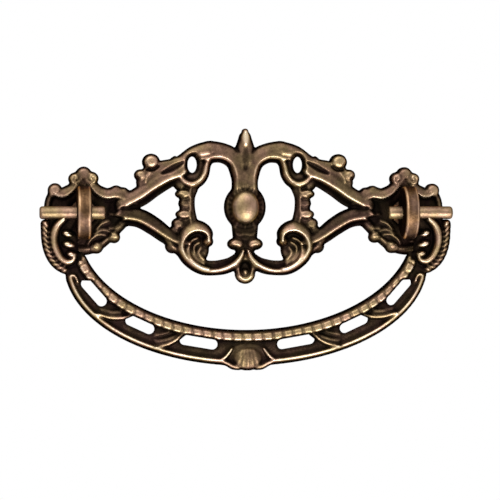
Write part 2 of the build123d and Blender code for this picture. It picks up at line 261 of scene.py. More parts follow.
def spread(values, valid, passes):
    """Carries the values a few grid steps outwards over the points that hold none."""
    values, valid = values.copy(), valid.copy()
    for _ in range(passes):
        total = np.zeros(values.shape)
        count = np.zeros(values.shape)
        for di, dj in ((1, 0), (-1, 0), (0, 1), (0, -1), (1, 1), (-1, -1), (1, -1), (-1, 1)):
            near = np.roll(valid, (di, dj), (0, 1))
            total += np.where(near, np.roll(values, (di, dj), (0, 1)), 0)
            count += near
        new = ~valid & (count > 0)
        values[new] = total[new] / count[new]
        valid |= new
    return values


class Relief:
    """The right half of a casting's front, drawn by strokes, domes and cuts.

    inside is above 0 within the outline, and the grid of rubbing and painted light brightens or darkens the
    wear: rubbed crests and tone, painted shade on slopes and under the pin, and a painted highlight on the
    beads."""

    def __init__(self, x_high, z_low, z_high):
        self.x = np.arange(0, x_high + GRID_STEP, GRID_STEP)
        self.z = np.arange(z_low, z_high + GRID_STEP, GRID_STEP)
        self.X, self.Z = np.meshgrid(self.x, self.z, indexing="ij")
        self.inside = np.full(self.X.shape, -9.0)
        self.height = np.zeros(self.X.shape)
        self.rubbed_and_painted_light = np.zeros(self.X.shape)

    def window(self, low, high):
        """The part of the grid between two corners."""
        i0, i1 = np.searchsorted(self.x, (low[0], high[0]))
        j0, j1 = np.searchsorted(self.z, (low[1], high[1]))
        return slice(i0, i1), slice(j0, j1)

    def beside(self, stations):
        """Near a line: the grid window, what lies left of its travel, the distance, and the width there."""
        rows = [s if len(s) == 4 else (*s, s[2]) for s in stations]
        line = smooth_line(rows)
        reach = line[:, 2:].max() * WINDOW_MARGIN
        box = self.window(line[:, :2].min(0) - reach, line[:, :2].max(0) + reach)
        dx = self.X[box][..., None] - line[:, 0]
        dz = self.Z[box][..., None] - line[:, 1]
        square = dx ** 2 + dz ** 2
        nearest = square.argmin(-1)
        distance = np.sqrt(square.min(-1))
        tangent = np.gradient(line[:, :2], axis=0)
        tangent /= np.linalg.norm(tangent, axis=1, keepdims=True)
        t = tangent[nearest]
        left = t[..., 0] * (self.Z[box] - line[nearest, 1]) - t[..., 1] * (self.X[box] - line[nearest, 0])
        width = np.where(left > 0, line[nearest, 2], line[nearest, 3])
        return box, left > 0, distance, np.maximum(width, 0.05)

    def stroke(self, stations, height, left=CONVEX, right=None, base=0.0, shine=0.0, dark=0.0, face=0.0):
        """A raised scroll of the outline: (x, z, width) or (x, z, left width, right width) stations.

        Its right side has the left one's section, unless it is given its own. Its crest is rubbed
        bright by shine, its face is toned by face, and dark paints shade on its right-hand slope."""
        box, on_left, distance, width = self.beside(stations)
        u = distance / width
        share = np.where(on_left, np.interp(u, *left), np.interp(u, *(right or left)))
        own = base + (height - base) * share
        on_top = (u <= 1) & (own > self.height[box] - 0.05)
        # Painted shade on the right-hand slope, deepening away from the crest
        slope = np.where(on_left, 0, np.clip((distance - CREST) / SHADE_RAMP, 0, 1))
        tone = face + (shine - face) * np.clip(1 - (distance / CREST) ** 2, 0, 1) - dark * slope
        self.rubbed_and_painted_light[box] = np.where(on_top, tone, self.rubbed_and_painted_light[box])
        raised = soft_max(self.height[box], own, FILLET)
        self.height[box] = np.where(u <= 1, raised, self.height[box])
        self.inside[box] = soft_max(self.inside[box], width - distance, STROKE_BLEND)

    def line(self, stations, rise, shine=0.0):
        """A thin ridge, or a groove where rise is negative, on what is there already."""
        box, _, distance, width = self.beside(stations)
        u = np.clip(distance / width, 0, 1)
        self.height[box] += rise * (1 - u ** 2) ** 2
        self.rubbed_and_painted_light[box] += shine * (1 - u ** 2)

    def oval(self, x, z, rx, rz, turn=0.0, square=2.0):
        """Near an oval: the grid window, and the share of the way from its middle to its edge.

        A square above 2 turns the oval into a box with rounded corners."""
        reach = WINDOW_MARGIN * max(rx, rz)
        box = self.window((x - reach, z - reach), (x + reach, z + reach))
        c, s = math.cos(math.radians(turn)), math.sin(math.radians(turn))
        dx, dz = self.X[box] - x, self.Z[box] - z
        along, across = np.abs(c * dx + s * dz) / rx, np.abs(c * dz - s * dx) / rz
        return box, (along ** square + across ** square) ** (1 / square)

    def dome(self, x, z, rx, rz, top, base=0.0, turn=0.0, power=2.0, shine=0.0, square=2.0):
        """A rounded boss, rubbed by shine; a higher power gives a flatter top."""
        box, share = self.oval(x, z, rx, rz, turn, square)
        raised = base + (top - base) * np.sqrt(np.clip(1 - share ** power, 0, 1))
        on_top = (share <= 1) & (raised > self.height[box])
        self.rubbed_and_painted_light[box] = np.where(on_top, shine, self.rubbed_and_painted_light[box])
        self.height[box] = np.where(on_top, raised, self.height[box])
        self.inside[box] = soft_max(self.inside[box], (1 - share) * min(rx, rz), DOME_BLEND)

    def darken(self, x, z, rx, rz, amount, below=9.0):
        """Darkens an oval patch, only where the relief lies below a height."""
        box, share = self.oval(x, z, rx, rz)
        patch = np.clip((1 - share) / 0.15, 0, 1) * (self.height[box] < below)
        self.rubbed_and_painted_light[box] -= amount * patch

    def sink(self, x, z, rx, rz, floor, wall):
        """A hollow with sloping walls, wall being its slope's share of the radius."""
        box, share = self.oval(x, z, rx, rz)
        depth = eased(np.clip((1 - share) / wall, 0, 1))
        lowered = np.minimum(self.height[box], floor)
        self.height[box] += (lowered - self.height[box]) * depth

    def hole(self, x, z, rx, rz):
        """An oval cut right through."""
        box, share = self.oval(x, z, rx, rz)
        self.inside[box] = np.minimum(self.inside[box], (share - 1) * min(rx, rz))

    def whole(self):
        """Both halves: x, z, inside, height and rubbed over the full width."""
        x = np.r_[-self.x[:0:-1], self.x]
        grids = (self.inside, self.height, self.rubbed_and_painted_light)
        return x, self.z, *(np.r_[grid[:0:-1], grid] for grid in grids)


# From a relief to a mesh


def outline_points(x, z, inside):
    """Where the outline crosses the grid's lines."""
    points = []
    for axis in (0, 1):
        a = inside if axis == 0 else inside.T
        i, j = np.nonzero((a[:-1] > 0) != (a[1:] > 0))
        share = a[i, j] / (a[i, j] - a[i + 1, j])
        along, across = (x, z) if axis == 0 else (z, x)
        place = along[i] + share * (along[i + 1] - along[i])
        pair = (place, across[j]) if axis == 0 else (across[j], place)
        points.append(np.stack(pair, 1))
    return np.concatenate(points)


def edge_distance(x, z, inside):
    """For each point inside, how far the outline is, and whether it lies below, 1, or above, -1."""
    points = outline_points(x, z, inside)
    tree = kdtree.KDTree(len(points))
    for k, (px, pz) in enumerate(points):
        tree.insert((px, pz, 0), k)
    tree.balance()
    distance = np.zeros(inside.shape)
    below = np.zeros(inside.shape)
    for i, j in zip(*np.nonzero(inside > 0)):
        place, k, far = tree.find((x[i], z[j], 0))
        distance[i, j] = far
        below[i, j] = (z[j] - place[1]) / max(far, 1e-6)
    return distance, below


def bevelled(height, distance, below, bevel):
    """Heights with edges taken down: a wide slope where an edge faces down, a narrow round elsewhere."""
    narrow, wide = bevel
    downward = blurred(np.clip((below + 0.2) / 0.9, 0, 1), 2)
    reach = narrow + (wide - narrow) * eased(downward)
    rise = np.clip(distance / reach, 0, 1)
    limit = EDGE_HEIGHT + (height - EDGE_HEIGHT) * (1 - (1 - rise) ** BEVEL_CURVE)
    return np.where((rise < 1) & (height > EDGE_HEIGHT), limit, height)


def worn(height, inside, rubbed_and_painted_light):
    """From 0 in a hollow to 1 on a rubbed edge, read from the relief at two scales, with the grid of rubbing
    and painted light added.
    """
    solid = inside > 0
    level = np.where(solid, height, 0)
    out = FACE_WEAR + blurred(rubbed_and_painted_light, 1)
    for radius, gain in RELIEF_GAINS:
        weight = blurred(solid.astype(float), radius)
        mean = blurred(level, radius) / np.maximum(weight, 0.05)
        out += gain * (height - mean)
    return np.clip(out, 0, 1)


def make_casting(name, relief, back_y, bevel):
    """A relief's mesh, with its edges taken down, its wear read off, and painted shade laid along its edges,
    deepest where they face down.
    """
    x, z, inside, height, rubbed_and_painted_light = relief.whole()
    distance, below = edge_distance(x, z, inside)
    square = blurred(spread(height, inside > 0, 4), 1)
    height = bevelled(height, distance, below, bevel)
    height = blurred(spread(height, inside > 0, 4), 1)
    # Painted shade: the bevels count partly as hollows and a strip along the outline darkens, both in full
    # where an edge faces down
    underside = blurred(np.clip(below, 0, 1), 2)
    darken = BEVEL_SHADE + (1 - BEVEL_SHADE) * underside
    wear = worn(square + darken * (height - square), inside, rubbed_and_painted_light)
    near_edge = np.clip(1 - distance / EDGE_SHADE_REACH, 0, 1)
    wear = np.clip(wear - EDGE_SHADE * darken * near_edge, 0, 1)
    return casting(name, x, z, inside, height, back_y, wear)


def casting(name, x, z, inside, height, back_y, wear):
    """A closed mesh: the relief's front, the walls of its outline, and a flat back."""
    solid = inside > 0
    faces, edges, rim = front_faces(solid)
    grids = (*np.meshgrid(x, z, indexing="ij"), spread(height, solid, 3), spread(wear, solid, 3))
    start, end = on_edges(inside, edges)
    share = np.clip(start / (start - end), 0.02, 0.98)
    columns = []
    for grid in grids:
        start, end = on_edges(grid, edges)
        columns.append(np.r_[grid[solid], start + share * (end - start)])
    front_x, front_z, front_height, front_wear_and_painted_light = columns
    front = np.stack([front_x, back_y - front_height, front_z], 1)
    back_of = {k: len(front) + n for n, k in enumerate(sorted(rim))}
    back = front[sorted(rim)]
    back[:, 1] = back_y
    faces += [(after, k, back_of[k], back_of[after]) for k, after in rim.items()]
    faces += back_faces(front, rim, back_of)
    points = np.concatenate([front, back]) * MM
    return mesh_object(name, points, faces, np.r_[front_wear_and_painted_light, np.full(len(back), BACK_WEAR)])


def front_faces(solid):
    """The front's faces, the grid edges that the outline crosses, and each rim vertex's next one.

    The grid's points inside are numbered first, and then the rim's vertices, one on each crossed edge."""
    count_inside = int(solid.sum())
    number = np.full(solid.shape, -1)
    number[solid] = np.arange(count_inside)
    corners = (solid[:-1, :-1], solid[1:, :-1], solid[1:, 1:], solid[:-1, 1:])
    count = sum(corner.astype(int) for corner in corners)
    i, j = np.nonzero(count == 4)
    quads = np.stack([number[i, j], number[i + 1, j], number[i + 1, j + 1], number[i, j + 1]], 1)
    faces = [tuple(quad) for quad in quads]
    crossed = {}
    rim = {}
    for i, j in np.argwhere((count > 0) & (count < 4)).tolist():
        a, b, c, d = (i, j), (i + 1, j), (i + 1, j + 1), (i, j + 1)
        for triangle in ((a, b, c), (a, c, d)):
            face, step = cut_triangle(triangle, solid, number, crossed, count_inside)
            if len(face) > 2:
                faces.append(tuple(face))
            if step:
                rim[step["leaving"]] = step["entering"]
    return faces, np.array(list(crossed)), rim


def cut_triangle(corners, solid, number, crossed, first):
    """What is inside of a grid's triangle, and the rim's vertices where its border leaves and enters.

    Vertices are numbered on from first, and kept in crossed by their grid edge."""
    face = []
    step = {}
    for here, after in zip(corners, corners[1:] + corners[:1]):
        if solid[here]:
            face.append(int(number[here]))
        if solid[here] != solid[after]:
            edge = (min(here, after), max(here, after))
            vertex = crossed.setdefault(edge, first + len(crossed))
            face.append(vertex)
            step["leaving" if solid[here] else "entering"] = vertex
    return face, step


def on_edges(grid, edges):
    """A grid's values at both ends of the crossed edges."""
    return grid[edges[:, 0, 0], edges[:, 0, 1]], grid[edges[:, 1, 0], edges[:, 1, 1]]


def rim_loops(rim):
    """The rim's closed loops, as lists of vertices."""
    loops = []
    left = dict(rim)
    while left:
        first = next(iter(left))
        loop = [first]
        after = left.pop(first)
        while after != first:
            loop.append(after)
            after = left.pop(after)
        loops.append(loop)
    return loops


def back_faces(front, rim, back_of):
    """Triangles that fill the flat back within the rim's loops."""
    loops = rim_loops(rim)
    flat = [[Vector((front[k][0], front[k][2], 0)) for k in loop] for loop in loops]
    places = [place for loop in flat for place in loop]
    order = [back_of[k] for loop in loops for k in loop]
    faces = []
    for corners in tessellate_polygon(flat):
        a, b, c = (places[k] for k in corners)
        turn = (b[0] - a[0]) * (c[1] - a[1]) - (b[1] - a[1]) * (c[0] - a[0])
        face = tuple(order[k] for k in corners)
        faces.append(face if turn < 0 else face[::-1])
    return faces


def mesh_object(name, points, faces, wear):
    """An object with smooth shading, sharp only at hard edges, and its wear as an attribute, which on a
    casting also holds painted shade and highlight.
    """
    mesh = bpy.data.meshes.new(name)
    mesh.from_pydata([tuple(p) for p in points], [], faces)
    mesh.update()
    # On a casting, the wear attribute also carries painted shade and a painted highlight
    attribute = mesh.attributes.new("wear", "FLOAT", "POINT")
    attribute.data.foreach_set("value", np.asarray(wear, np.float32))
    return shaded_object(name, mesh, SHARP_ANGLE)


def shaded_object(name, mesh, angle):
    """An object of a mesh, shaded smooth but for edges sharper than an angle."""
    mesh.polygons.foreach_set("use_smooth", np.ones(len(mesh.polygons), bool))
    mesh.set_sharp_from_angle(angle=math.radians(angle))
    made = bpy.data.objects.new(name, mesh)
    bpy.context.scene.collection.objects.link(made)
    return made


def joined(name, objects):
    """The objects as one."""
    bpy.ops.object.select_all(action="DESELECT")
    for item in objects:
        item.select_set(True)
    bpy.context.view_layer.objects.active = objects[0]
    bpy.ops.object.join()
    objects[0].name = name
    objects[0].data.name = name
    return objects[0]


# Backplate


def draw_backplate():
    """The right half of the pierced plate."""
    r = Relief(*PLATE_LIMITS)
    draw_column(r)
    draw_arm(r)
    draw_panel(r)
    draw_scroll(r)
    draw_base(r)
    draw_rosette(r)
    draw_boss(r)
    return r


def draw_column(r):
    """The upright on the middle line, the arch each side of it and the spike on top."""
    r.stroke([(0, 11.4, 3.9), (0, 10.2, 3.6), (0, 7.8, 3.0), (0, 4.0, 3.2)], 2.6, FLAT)
    r.stroke([(0, 2.0, 3.2), (0, -4.4, 3.0), (0, -7.5, 2.6), (0, -11.5, 1.6)], 1.7, FLAT)
    # The stem and the arch take painted shade on their slopes toward the opening (dark)
    stem = [(2.1, 5.4, 2.0, 0.9), (2.05, 7.6, 2.0, 1.0), (2.5, 10.2, 2.6, 1.1)]
    r.stroke(stem, 3.0, FACE, SLOPE, shine=0.06, dark=0.2)
    arch = [
        (2.2, 9.0, 2.2, 1.0), (2.5, 10.2, 2.6, 1.1), (3.7, 12.0, 3.4, 1.2), (5.5, 12.9, 3.5, 1.2),
        (7.6, 12.9, 4.0, 1.2), (9.4, 12.5, 4.0, 1.4),
    ]
    r.stroke(arch, 3.1, FACE, SLOPE, shine=0.35, dark=0.3)
    spike = [(12.4, 3.2), (14.4, 2.7), (16.0, 2.05), (17.5, 1.55), (18.4, 1.25), (19.05, 0.78)]
    r.stroke([(0, z, width) for z, width in spike], 3.1)
    r.line([(2.6, 16.3, 0.5), (2.3, 15.4, 0.6), (1.7, 14.2, 0.4)], -0.4, -0.1)
    r.line([(0.0, 15.6, 0.6), (0.0, 13.8, 1.2), (0.0, 12.2, 1.2), (0.0, 10.2, 0.6)], -0.3, -0.16)
    r.line([(0.0, 15.4, 0.2), (0.0, 16.6, 0.8), (0.0, 18.0, 1.2), (0.0, 19.3, 1.1)], 0.1, 0.45)


def draw_arm(r):
    """The two rails out to the rosette, the crest and its beads."""
    upper = [
        (8.6, 14.0, 2.8, 1.8), (11.4, 13.3, 2.7, 1.9), (13.2, 10.6, 4.4, 1.6),
        (14.9, 9.0, 4.6, 1.6), (18.1, 7.7, 3.8, 1.9), (21.5, 5.8, 3.0, 2.1), (24.6, 3.7, 2.6, 2.2),
        (28.2, 1.7, 2.6, 1.8),
    ]
    # The upper rail takes painted shade on its lower slope (dark)
    r.stroke(upper, 3.2, FACE, SLOPE, shine=0.38, dark=0.26)
    lower = [
        (14.4, -7.4, 1.6, 1.4), (16.7, -6.7, 1.9, 1.7), (18.9, -5.5, 2.3, 1.7),
        (21.8, -3.6, 2.7, 1.7), (25.2, -1.8, 2.8, 1.7), (28.6, -1.2, 2.6, 1.8),
    ]
    # The lower rail takes painted shade on its lower slope (dark)
    r.stroke(lower, 3.0, FACE, SLOPE, shine=0.33, dark=0.18, face=-0.2)
    r.stroke([(17.1, 11.1, 1.6), (19.9, 10.3, 1.9), (22.3, 9.5, 1.9), (24.2, 7.1, 1.5)], 2.5, FLAT)
    r.line([(14.6, 11.9, 0.4), (16.2, 11.0, 0.9), (17.8, 10.1, 0.9), (19.6, 9.3, 0.4)], -0.9, -0.1)
    r.line([(20.6, 10.9, 0.4), (21.7, 10.2, 0.6), (23.2, 10.2, 0.5)], -0.8, -0.15)
    r.line([(22.4, 9.4, 0.4), (23.3, 8.3, 0.5), (23.6, 7.2, 0.4)], 0.4, 0.15)
    r.dome(22.2, 11.9, 2.1, 1.95, 2.3, power=6.0)
    r.dome(22.2, 12.0, 1.75, 1.65, 3.1, base=1.8, power=4.0, shine=0.12)
    r.dome(24.7, 8.8, 1.5, 1.4, 2.9, base=1.0, power=5.0, shine=0.1)
    for x, z, size in ((28.6, 4.8, 1.1), (30.4, 5.1, 1.3)):
        r.dome(x, z, size, size, 2.2, base=1.8)


def draw_panel(r):
    """The eye with the loop under it, and the side post with its lobes."""
    r.dome(12.3, 10.7, 3.3, 3.7, 1.7, power=6.0)
    r.sink(12.5, 11.0, 2.1, 2.9, 0.9, wall=0.55)
    loop = [
        (8.3, 13.0, 0.9), (9.2, 11.0, 1.1), (9.8, 8.8, 1.2), (10.9, 7.3, 1.2), (12.6, 6.7, 1.15),
        (14.2, 7.2, 1.05), (15.5, 8.6, 0.9),
    ]
    r.stroke(loop, 3.0, ROUND, shine=0.2)
    r.hole(12.5, 11.3, 1.1, 1.9)
    r.stroke([(12.2, 6.4, 1.4), (13.6, 3.7, 1.8), (13.6, 0.6, 1.8), (12.8, -2.6, 1.7)], 1.7, FLAT)
    r.line([(12.9, 6.0, 0.3), (13.0, 3.0, 0.35), (13.0, 0.0, 0.35), (12.9, -2.2, 0.3)], 0.7, 0.1)
    r.dome(14.6, 4.4, 1.95, 1.15, 2.6, base=1.0, power=5.0, shine=0.04)
    r.dome(14.3, 2.1, 1.4, 0.9, 2.1, base=1.0, power=5.0, shine=-0.1)
    r.dome(14.5, -0.4, 1.95, 1.15, 2.6, base=1.0, power=5.0, shine=0.04)
    r.dome(15.4, 6.6, 1.5, 1.4, 2.0, power=4.0)
    r.dome(15.8, -2.6, 1.6, 1.4, 2.1, power=4.0)
    r.dome(16.6, -4.1, 1.2, 1.2, 1.8, power=4.0)


def draw_scroll(r):
    """The big scroll under the side post, arcs inside it, and the leaf beside it."""
    r.dome(11.4, -8.5, 2.9, 3.7, 1.3, power=6.0)
    scroll = [
        (8.9, -6.7, 0.95, 0.8), (9.3, -5.1, 1.8, 0.9), (11.4, -4.3, 2.6, 1.2),
        (13.6, -5.2, 2.2, 1.7), (14.9, -7.5, 1.4, 2.7), (14.3, -9.9, 1.5, 2.9),
        (12.5, -12.0, 1.4, 2.9), (9.9, -13.4, 1.3, 2.4), (7.3, -13.8, 1.0, 2.5),
        (4.8, -13.1, 1.4, 2.2), (2.8, -11.9, 1.6, 1.7), (1.3, -10.2, 1.2, 1.2),
        (0.75, -8.9, 0.7, 0.7),
    ]
    r.stroke(scroll, 3.5, CONVEX, CHANNEL, shine=0.3, dark=0.12)
    r.darken(11.0, -7.4, 2.6, 2.2, 0.16, 2.4)
    outer = [
        (11.2, -5.9, 0.4), (12.7, -6.7, 0.6), (13.4, -8.6, 0.8), (12.6, -10.8, 0.8),
        (10.6, -12.5, 0.6), (8.6, -13.2, 0.4),
    ]
    middle = [
        (10.8, -7.0, 0.4), (11.9, -7.7, 0.55), (12.2, -9.2, 0.65), (11.4, -10.8, 0.65),
        (9.7, -11.9, 0.5),
    ]
    inner = [(10.4, -8.2, 0.35), (11.0, -9.2, 0.5), (10.5, -10.4, 0.5), (9.6, -11.1, 0.35)]
    for stations, rise in ((outer, 1.0), (middle, 0.8), (inner, 0.6)):
        r.line(stations, rise, 0.3)
    r.dome(8.9, -6.8, 1.4, 1.3, 2.9)
    r.dome(17.2, -7.9, 1.7, 1.7, 1.6, power=4.0)
    for x, z, turn in ((17.1, -8.0, 40), (18.2, -6.8, 40), (16.3, -9.0, 50)):
        r.dome(x, z, 1.6, 0.6, 2.3, base=1.2, turn=turn)


def draw_base(r):
    """The foot of the upright, where the two scrolls meet, and the drop under it."""
    # Darker across the waist under the boss
    r.darken(0, -5.2, 3.6, 2.4, 0.2)
    r.dome(2.25, -7.4, 1.95, 1.45, 2.9, base=1.0, power=3.0)
    r.line([(0.2, -4.9, 0.3), (1.2, -5.2, 0.4), (2.4, -4.8, 0.35)], 0.4)
    r.line([(0.2, -6.0, 0.3), (1.0, -6.0, 0.4), (1.9, -5.7, 0.3)], 0.3)
    r.stroke([(0, -11.0, 1.6), (0, -13.0, 2.7), (0, -14.4, 2.4)], 2.3, FLAT)
    r.sink(0, -13.2, 1.7, 2.3, 0.8, wall=0.5)
    r.dome(0.1, -14.1, 0.65, 0.9, 2.1, base=0.9, turn=-25)
    r.line([(0.0, -16.1, 0.5), (0.9, -15.8, 0.5), (1.6, -15.1, 0.4)], 0.5, 0.3)


def at_post(stations):
    """Stations measured sideways from the post's centre, as places on the grid."""
    return [(BOLT_X + x, *rest) for x, *rest in stations]


def draw_rosette(r):
    """The cartouche round the post: a sunk field, swagged rims, the finial's lobes and leaf veins."""
    r.dome(BOLT_X - 0.3, -0.6, 8.9, 7.5, 1.4, power=12.0)
    r.dome(BOLT_X, 4.0, 3.0, 5.4, 1.6, power=8.0)
    r.dome(BOLT_X - 8.6, 0.8, 3.4, 3.7, 1.6, power=6.0)
    left_swag = [
        (-10.8, 2.5, 2.4, 0.7), (-8.0, 3.6, 2.5, 0.7), (-5.3, 3.4, 2.4, 0.6), (-3.2, 4.2, 2.3, 0.6),
        (-1.3, 6.4, 1.9, 0.5),
    ]
    right_swag = [
        (1.3, 6.4, 1.7, 0.5), (2.6, 4.7, 2.2, 0.6), (4.4, 3.7, 2.3, 0.6), (6.0, 3.9, 2.0, 0.6),
        (7.1, 5.0, 0.9, 0.7),
    ]
    # The swags take painted shade on their lower slopes (dark)
    for stations in (left_swag, right_swag):
        r.stroke(at_post(stations), 2.8, FACE, SLOPE, shine=0.34, dark=0.25)
    side_rim = [(6.8, 5.4, 0.9), (8.0, 2.9, 0.9), (8.2, -1.0, 0.9), (7.3, -4.6, 1.0), (5.2, -7.4, 1.1)]
    low_rim = [
        (6.2, -6.6, 1.0), (3.2, -8.4, 1.2), (0.0, -8.8, 1.2), (-3.4, -7.9, 1.1), (-6.4, -5.6, 1.0),
        (-9.6, -2.4, 1.0),
    ]
    for stations in (side_rim, low_rim):
        r.stroke(at_post(stations), 1.9, face=-0.1)
    draw_finial(r)
    veins = (
        [(-10.0, -1.4, 0.4), (-8.4, -2.3, 0.55), (-7.2, -3.6, 0.5), (-5.9, -3.7, 0.4)],
        [(-6.0, -1.9, 0.4), (-4.2, -2.6, 0.55), (-3.0, -3.9, 0.5)],
        [(-5.2, -5.2, 0.45), (-3.6, -5.1, 0.6), (-2.0, -6.0, 0.6), (-1.0, -7.4, 0.45)],
        [(-6.6, -4.6, 0.35), (-4.4, -4.0, 0.5), (-2.6, -4.8, 0.5)],
        [(1.5, -6.9, 0.45), (3.4, -6.2, 0.55), (4.6, -4.6, 0.45)],
        [(-8.9, 0.6, 0.35), (-7.4, -0.4, 0.5), (-6.0, -0.4, 0.35)],
    )
    for stations in veins:
        r.line(at_post(stations), 0.55)
    r.darken(BOLT_X - 0.3, -0.6, 8.9, 7.4, 0.24, 1.75)
    r.darken(BOLT_X - 8.6, 0.0, 3.4, 3.4, 0.16, 2.2)
    r.hole(BOLT_X, 0, 3.0, 3.0)


def draw_finial(r):
    """The rosette's lobes, and the curled grooves in the two on top."""
    lobes = (
        (0.0, 8.0, 2.4, 2.2, 0.0),
        (-0.1, 9.1, 1.8, 2.7, 0.08),
        (-1.9, 8.0, 1.7, 3.1, 0.12),
        (1.9, 7.9, 1.6, 3.1, 0.12),
        (6.6, 5.3, 1.7, 2.6, 0.1),
        (-7.2, -5.8, 1.45, 2.4, 0.0),
        (-3.1, -8.2, 1.5, 2.4, 0.0),
    )
    for x, z, size, top, shine in lobes:
        r.dome(BOLT_X + x, z, size, size * 0.95, top, base=1.2, power=4.0, shine=shine)
    curl = [(1.3, 9.0, 0.2), (1.0, 8.1, 0.3), (1.7, 7.3, 0.35), (2.5, 7.8, 0.3), (2.1, 8.4, 0.2)]
    for side in (-1, 1):
        r.line(at_post([(side * x, z, width) for x, z, width in curl]), -0.55, -0.2)


def draw_boss(r):
    """The oval boss: a pillowed dome in a ring of gadroons."""
    centre_z = 1.3
    ring_x, ring_z = 4.7, 5.15
    ring_place, ring_width = 0.83, 0.15
    gadroon_depth, half_turns = 0.55, 12
    r.dome(0, centre_z, 4.95, 5.4, 2.5, power=5.0)
    box, share = r.oval(0, centre_z, ring_x, ring_z)
    turn = np.arctan2((r.Z[box] - centre_z) / ring_z, r.X[box] / ring_x)
    ring = np.clip(1 - np.abs(share - ring_place) / ring_width, 0, 1)
    r.height[box] += ring * (gadroon_depth * np.abs(np.cos(half_turns * turn)) - gadroon_depth)
    groove = [(0.3, -3.6), (2.4, -2.9), (3.7, -0.6), (4.0, 1.4), (3.6, 3.8), (2.2, 5.4)]
    r.line([(x, z, 0.3) for x, z in groove], -0.3)
    r.dome(0, centre_z, 3.25, 4.0, 4.6, base=2.2, power=2.5, shine=0.1)


# Bail


def edge_z(x, reach, centre):
    """The height of one of the bail's two elliptical edges at x."""
    return centre - CURVE_HEIGHT * np.sqrt(np.clip(1 - (x / (BOLT_X + reach)) ** 2, 0, 1))


def in_band(x, share):
    """The height at x of a line between the bail's inner edge, 0, and its outer edge, 1."""
    inner = edge_z(x, INNER_REACH, INNER_CENTRE)
    return inner + share * (edge_z(x, OUTER_REACH, OUTER_CENTRE) - inner)


def across_band(stations):
    """Places on the bail, from stations of a share of the way to the pin, a share across, and a width."""
    return [(BOLT_X * way, in_band(BOLT_X * way, share), width) for way, share, width in stations]


def bail_edge(reach, centre, offset, end_z, steps=40):
    """Points beside one of the bail's edges, from the middle to the right end."""
    half_height = CURVE_HEIGHT + offset
    last = math.asin((end_z - centre) / half_height)
    angles = np.linspace(-math.pi / 2, last, steps)
    return np.stack([(BOLT_X + reach + offset) * np.cos(angles), centre + half_height * np.sin(angles)], 1)


def draw_bail():
    """The right half of the bail, heights measured from its flat back."""
    r = Relief(*BAIL_LIMITS)
    inner = np.hypot(r.X / (BOLT_X + INNER_REACH), (r.Z - INNER_CENTRE) / CURVE_HEIGHT)
    outer = np.hypot(r.X / (BOLT_X + OUTER_REACH), (r.Z - OUTER_CENTRE) / CURVE_HEIGHT)
    band = np.minimum((inner - 1) * BAND_RADIUS, (1 - outer) * BAND_RADIUS)
    band = np.minimum(band, BAIL_END + BAND_OVERLAP - r.Z)
    r.inside = np.maximum(r.inside, band)
    r.height = np.where(band > 0, BAND_FLOOR, r.height)
    r.rubbed_and_painted_light = np.where(band > 0, BAND_TONE, r.rubbed_and_painted_light)
    draw_rims(r)
    draw_leaves(r)
    draw_shell(r)
    draw_beads(r)
    draw_slots(r)
    draw_end(r)
    draw_rope(r)
    return r


def draw_rims(r):
    """The plain strip on the inner edge and the bold ridge on the outer edge, hooked at its end."""
    strip = bail_edge(INNER_REACH, INNER_CENTRE, 0.5, BAIL_END)
    r.stroke([(x, z, 0.6) for x, z in strip], 1.9, FLAT, shine=0.06, face=0.06)
    ridge = [(x, z, 0.9, 1.0) for x, z in bail_edge(OUTER_REACH, OUTER_CENTRE, -1.0, -15.2) if x > SHELL_FORK]
    hook = [
        (41.2, -14.6, 0.7, 0.8), (40.5, -14.5, 0.6, 0.7), (39.9, -15.2, 0.6, 0.6),
        (39.6, -16.2, 0.5, 0.5),
    ]
    r.stroke(ridge + hook, 2.5, RIDGE, shine=0.2)


def draw_leaves(r):
    """The leaves that cross the band between slots: a low body each, a bold ridge and fine ones."""
    for start, end in ((0.43, 0.56), (0.78, 0.90)):
        body = [(start, 0.42, 1.0), ((start + end) / 2, 0.6, 1.3), (end, 0.76, 0.9)]
        r.stroke(across_band(body), 1.7, face=-0.16, shine=-0.16)
    bold = (
        [(0.405, 0.32, 0.5), (0.44, 0.51, 0.6), (0.487, 0.68, 0.65), (0.565, 0.86, 0.55)],
        [(0.71, 0.32, 0.6), (0.77, 0.5, 0.7), (0.84, 0.68, 0.7), (0.92, 0.82, 0.55)],
    )
    for stations in bold:
        r.line(across_band(stations), 1.1, 0.2)
    fine = (
        [(0.43, 0.34, 0.4), (0.50, 0.56, 0.45), (0.57, 0.7, 0.4)],
        [(0.475, 0.32, 0.35), (0.52, 0.44, 0.4), (0.57, 0.55, 0.35)],
        [(0.775, 0.34, 0.4), (0.83, 0.5, 0.45), (0.90, 0.66, 0.4)],
    )
    for stations in fine:
        r.line(across_band(stations), 0.5, 0.04)


def draw_slots(r):
    """The slots pierced between the beads and the outer ridge, their upper outer corners cut off."""
    for way, length in SLOTS:
        x = way * BOLT_X
        turn = math.atan((in_band(x + 1, SLOT_PLACE) - in_band(x - 1, SLOT_PLACE)) / 2)
        dx, dz = r.X - x, r.Z - in_band(x, SLOT_PLACE)
        along = math.cos(turn) * dx + math.sin(turn) * dz
        across = math.cos(turn) * dz - math.sin(turn) * dx
        past_middle = np.maximum(np.abs(along) - (length - SLOT_WIDTH) / 2, 0)
        away = np.hypot(past_middle, across) - SLOT_WIDTH / 2
        corner = (along + CORNER_SLANT * across - length / 2 + CORNER_CUT) * CORNER_SCALE
        r.inside = np.minimum(r.inside, np.maximum(away, corner))


